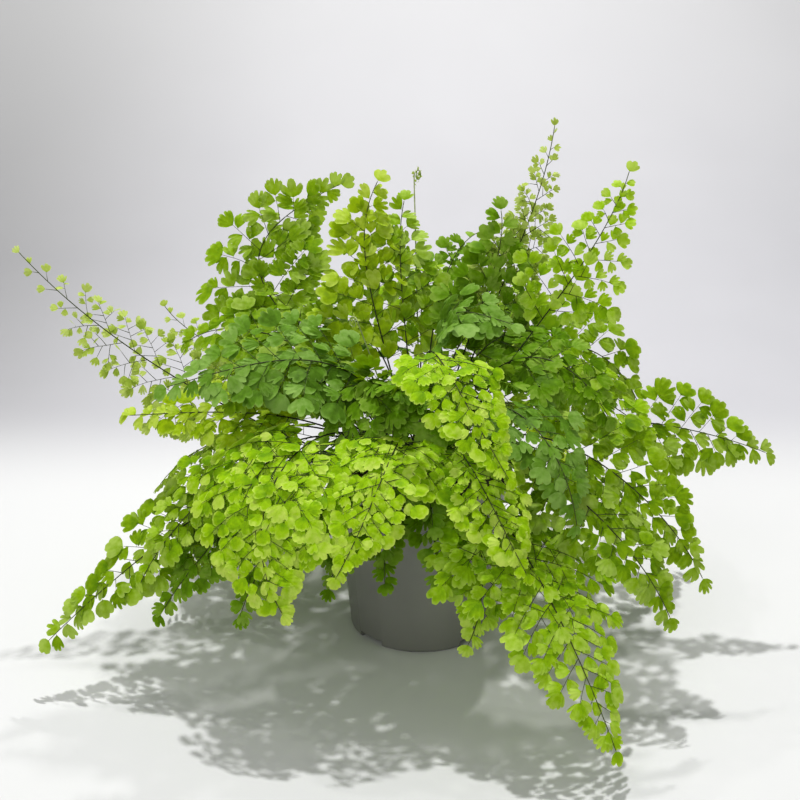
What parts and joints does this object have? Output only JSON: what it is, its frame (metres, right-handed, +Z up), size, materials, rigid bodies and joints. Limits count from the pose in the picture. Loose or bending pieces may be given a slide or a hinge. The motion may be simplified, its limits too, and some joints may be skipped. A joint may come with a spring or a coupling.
{
  "type": "potted maidenhair fern",
  "caption": "Maidenhair fern with arching stalks and lacy fan-shaped leaflets in a tapered round plastic nursery pot.",
  "frame": {"origin": "middle of the pot's flat underside, on the surface it stands on", "axes": "+Z up along the pot's axis, +X to the right and -Y towards the viewer as the plant is seen in the picture"},
  "size_m": [0.4563, 0.3818, 0.3171],
  "materials": {
    "pot_plastic": "satin",
    "potting_mix": "matte",
    "rhizome": "matte",
    "leaf_bright": "matte",
    "leaf_fresh": "matte",
    "leaf_mid": "matte",
    "leaf_olive": "matte",
    "leaf_blue": "matte",
    "leaf_deep": "matte",
    "leaf_young": "matte"
  },
  "bodies": {
    "root": {"nursery_pot": "pot_plastic", "potting_soil": "potting_mix", "root_crown": "rhizome", "frond_far_left": "leaf_young", "frond_left_young": "leaf_young", "frond_upper_left": "leaf_mid", "frond_upper_mid_left": "leaf_olive", "frond_upper_mid": "leaf_mid", "frond_upper_small": "leaf_deep", "frond_upper_right_dark": "leaf_deep", "frond_tall_young": "leaf_young", "frond_tall_right": "leaf_fresh", "frond_far_right": "leaf_mid", "frond_right_upper": "leaf_mid", "frond_right_lower": "leaf_mid", "frond_right_low_front": "leaf_mid", "frond_front_right_long": "leaf_fresh", "frond_front_low_right": "leaf_fresh", "frond_centre_bright_top": "leaf_bright", "frond_centre_bright_right": "leaf_bright", "frond_centre_bright_left": "leaf_bright", "frond_left_bright": "leaf_bright", "frond_left_bright_side": "leaf_fresh", "frond_left_outer": "leaf_mid", "frond_left_hang_outer": "leaf_deep", "frond_left_hang_inner": "leaf_deep", "frond_left_hang_pot": "leaf_deep", "frond_mid_left_blue": "leaf_blue", "frond_left_olive": "leaf_olive", "frond_centre_blue": "leaf_blue", "frond_right_centre_blue": "leaf_blue", "frond_right_mid_dark": "leaf_deep", "frond_pot_front": "leaf_deep", "frond_pot_front_left": "leaf_deep", "frond_upper_left_low": "leaf_mid", "frond_upper_right_inner": "leaf_deep", "frond_right_inner": "leaf_fresh", "frond_centre_inner": "leaf_deep", "frond_centre_deep": "leaf_deep", "frond_left_inner": "leaf_mid", "frond_inner_front_left": "leaf_deep", "frond_inner_front_right": "leaf_deep", "frond_back_left_high": "leaf_mid", "frond_back_centre_high": "leaf_fresh", "frond_back_right_high": "leaf_mid", "frond_back_left_mid": "leaf_olive", "frond_back_mid_left": "leaf_blue", "frond_back_mid_right": "leaf_fresh", "frond_back_right_mid": "leaf_blue", "frond_back_left_low": "leaf_mid", "frond_back_centre_low": "leaf_mid", "frond_back_right_low": "leaf_olive", "frond_right_back_low": "leaf_mid", "frond_left_back_low": "leaf_mid", "frond_left_side_low": "leaf_deep", "frond_back_left_deep": "leaf_deep", "frond_back_right_deep": "leaf_deep", "crozier_back": "leaf_young", "crozier_left": "leaf_young", "crozier_right": "leaf_young"}
  },
  "joints": []
}
